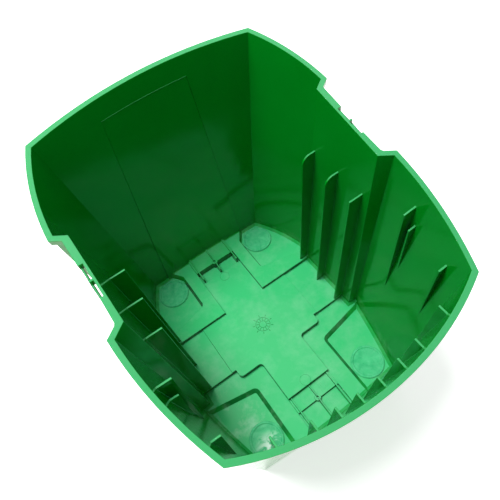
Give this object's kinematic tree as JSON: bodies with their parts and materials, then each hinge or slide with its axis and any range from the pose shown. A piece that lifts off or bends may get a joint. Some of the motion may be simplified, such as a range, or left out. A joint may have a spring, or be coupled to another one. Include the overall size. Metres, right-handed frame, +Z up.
{
  "type": "slant-mouth storage bin",
  "caption": "Tall open moulded bin with a slanted mouth, stepped floor, recessed sides, inner stiffening fins and round plug feet.",
  "frame": {"origin": "centre of the footprint of the whole bin at ground level, under the soles of the feet", "axes": "+Z up; +Y towards the high side of the slanted mouth; +X to the right when looking along +Y from the low side"},
  "size_m": [0.3022, 0.3671, 0.344],
  "materials": {
    "bin_green": "glossy injection-moulded polypropylene, slightly translucent, lightly scuffed",
    "foot_clear": "smooth milky pale green moulded plug"
  },
  "bodies": {
    "root": {"bin_shell": "bin_green", "foot_far_left": "foot_clear", "foot_far_right": "foot_clear", "foot_near_left": "foot_clear", "foot_near_right": "foot_clear"}
  },
  "joints": []
}
